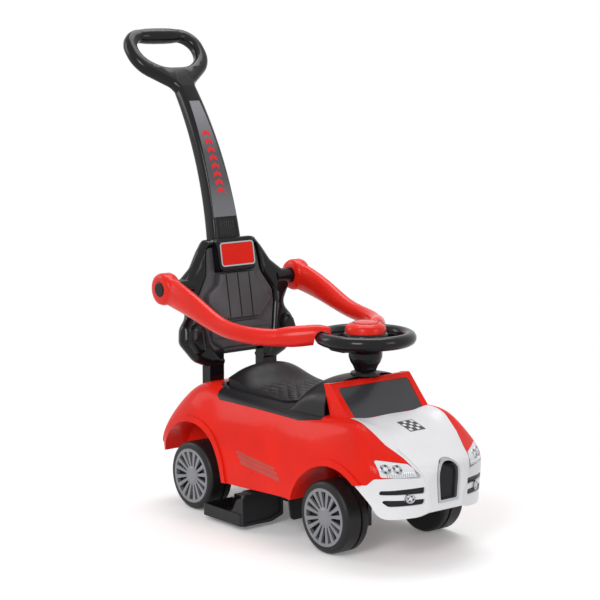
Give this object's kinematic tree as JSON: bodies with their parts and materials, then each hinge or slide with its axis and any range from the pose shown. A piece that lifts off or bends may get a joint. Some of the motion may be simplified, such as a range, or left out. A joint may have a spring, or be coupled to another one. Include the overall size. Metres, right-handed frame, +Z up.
{
  "type": "push car with handle",
  "caption": "Ride-on toy car with a parent push handle, high backrest, fold-up guard arms, steering wheel and slide-in footrests.",
  "frame": {"origin": "on the ground, under the middle of the whole toy's bounding box", "axes": "+X forward to the nose, +Y to the car's left, +Z up"},
  "size_m": [0.854, 0.346, 0.8881],
  "materials": {
    "red_shell": "glossy blow-moulded plastic",
    "white_nose": "glossy moulded plastic",
    "screen_grey": "dark film behind a smooth face",
    "lamp_clear": "pale printed lamp face",
    "lamp_silver": "silver plastic",
    "black_plastic": "satin black plastic",
    "grey_pad": "matte dark grey plastic",
    "grey_panel": "smooth grey inlay",
    "tyre_black": "hard black plastic",
    "cap_silver": "silver painted plastic",
    "steel": "plain zinc"
  },
  "bodies": {
    "chassis": {"body_shell": "red_shell", "front_fascia": "white_nose", "windscreen": "screen_grey", "grille_surround": "lamp_silver", "grille_insert": "black_plastic", "seat_surround": "black_plastic", "seat_hinge_pin": "steel", "storage_bin": "black_plastic", "floor_pan": "black_plastic", "front_axle_housing": "black_plastic", "rear_axle": "steel", "rear_axle_nuts": "steel", "backrest_shell": "black_plastic", "backrest_pad": "grey_pad", "badge_plate": "red_shell", "badge_bezel": "lamp_silver", "steering_bush": "black_plastic", "headlamp_lens_right": "lamp_clear", "headlamp_bowl_right": "lamp_silver", "fog_grille_right": "black_plastic", "fog_lamp_right": "lamp_silver", "arm_pivot_right": "black_plastic", "king_pin_right": "steel", "headlamp_lens_left": "lamp_clear", "headlamp_bowl_left": "lamp_silver", "fog_grille_left": "black_plastic", "fog_lamp_left": "lamp_silver", "arm_pivot_left": "black_plastic", "king_pin_left": "steel"},
    "steering": {"steering_wheel": "black_plastic", "steering_boss": "black_plastic", "sound_module": "black_plastic", "steering_column": "steel"},
    "horn": {"horn_pad": "red_shell"},
    "track_link": {"tie_rod": "steel"},
    "lid": {"seat_lid": "black_plastic"},
    "handle": {"handle_frame": "black_plastic", "handle_panel": "grey_panel"},
    "rear_wheel_right": {"rear_wheel_right": "tyre_black", "rear_hub_cap_right": "cap_silver"},
    "knuckle_right": {"knuckle_right": "steel", "front_axle_nut_right": "steel"},
    "front_wheel_right": {"front_wheel_right": "tyre_black", "front_hub_cap_right": "cap_silver"},
    "button_right": {"music_button_right": "black_plastic"},
    "guard_arm_right": {"guard_arm_right": "red_shell"},
    "footrest_right": {"footrest_right": "black_plastic"},
    "rear_wheel_left": {"rear_wheel_left": "tyre_black", "rear_hub_cap_left": "cap_silver"},
    "knuckle_left": {"knuckle_left": "steel", "front_axle_nut_left": "steel"},
    "front_wheel_left": {"front_wheel_left": "tyre_black", "front_hub_cap_left": "cap_silver"},
    "button_left": {"music_button_left": "black_plastic"},
    "guard_arm_left": {"guard_arm_left": "red_shell"},
    "footrest_left": {"footrest_left": "black_plastic"}
  },
  "joints": [
    {"name": "steering_turn", "type": "hinge", "parent": "chassis", "child": "steering", "pos_m": [0.2119, 0, 0.357], "axis": [0, 0, 1], "range_deg": [-25, 25]},
    {"name": "track_link_slide", "type": "slide", "parent": "chassis", "child": "track_link", "axis": [0, 1, 0], "range_m": [-0.0132, 0.0132]},
    {"name": "horn_press", "type": "slide", "parent": "steering", "child": "horn", "axis": [0, 0, -1], "range_m": [0, 0.0025], "stiffness_N_per_m": 1200, "springref_m": -0.003},
    {"name": "seat_lid_open", "type": "hinge", "parent": "chassis", "child": "lid", "pos_m": [-0.0951, 0, 0.2335], "axis": [0, -1, 0], "range_deg": [0, 55]},
    {"name": "handle_lift", "type": "slide", "parent": "chassis", "child": "handle", "axis": [-0.1736, 0, 0.9848], "range_m": [0, 0.052]},
    {"name": "rear_wheel_spin_right", "type": "hinge", "parent": "chassis", "child": "rear_wheel_right", "pos_m": [-0.1241, -0.112, 0.064], "axis": [0, 1, 0], "continuous": true},
    {"name": "knuckle_turn_right", "type": "hinge", "parent": "chassis", "child": "knuckle_right", "pos_m": [0.2609, -0.062, 0.064], "axis": [0, 0, 1], "range_deg": [-18.2, 18.2]},
    {"name": "front_wheel_spin_right", "type": "hinge", "parent": "knuckle_right", "child": "front_wheel_right", "pos_m": [0.2609, -0.112, 0.064], "axis": [0, 1, 0], "continuous": true},
    {"name": "music_button_press_right", "type": "slide", "parent": "steering", "child": "button_right", "axis": [0, 0, -1], "range_m": [0, 0.0015], "stiffness_N_per_m": 600, "springref_m": -0.002},
    {"name": "guard_arm_lift_right", "type": "hinge", "parent": "chassis", "child": "guard_arm_right", "pos_m": [-0.1721, -0.15575, 0.413], "axis": [0, -1, 0], "range_deg": [0, 95]},
    {"name": "footrest_push_right", "type": "slide", "parent": "chassis", "child": "footrest_right", "axis": [0, 1, 0], "range_m": [0, 0.045]},
    {"name": "rear_wheel_spin_left", "type": "hinge", "parent": "chassis", "child": "rear_wheel_left", "pos_m": [-0.1241, 0.112, 0.064], "axis": [0, 1, 0], "continuous": true},
    {"name": "knuckle_turn_left", "type": "hinge", "parent": "chassis", "child": "knuckle_left", "pos_m": [0.2609, 0.062, 0.064], "axis": [0, 0, 1], "range_deg": [-18.2, 18.2]},
    {"name": "front_wheel_spin_left", "type": "hinge", "parent": "knuckle_left", "child": "front_wheel_left", "pos_m": [0.2609, 0.112, 0.064], "axis": [0, 1, 0], "continuous": true},
    {"name": "music_button_press_left", "type": "slide", "parent": "steering", "child": "button_left", "axis": [0, 0, -1], "range_m": [0, 0.0015], "stiffness_N_per_m": 600, "springref_m": -0.002},
    {"name": "guard_arm_lift_left", "type": "hinge", "parent": "chassis", "child": "guard_arm_left", "pos_m": [-0.1721, 0.15575, 0.413], "axis": [0, -1, 0], "range_deg": [0, 95]},
    {"name": "footrest_push_left", "type": "slide", "parent": "chassis", "child": "footrest_left", "axis": [0, -1, 0], "range_m": [0, 0.045]}
  ],
  "couplings": [
    {"joint": "track_link_slide", "follows": "steering_turn", "m_per_rad": -0.029745},
    {"joint": "knuckle_turn_right", "follows": "steering_turn", "ratio": 0.72},
    {"joint": "knuckle_turn_left", "follows": "steering_turn", "ratio": 0.72}
  ]
}
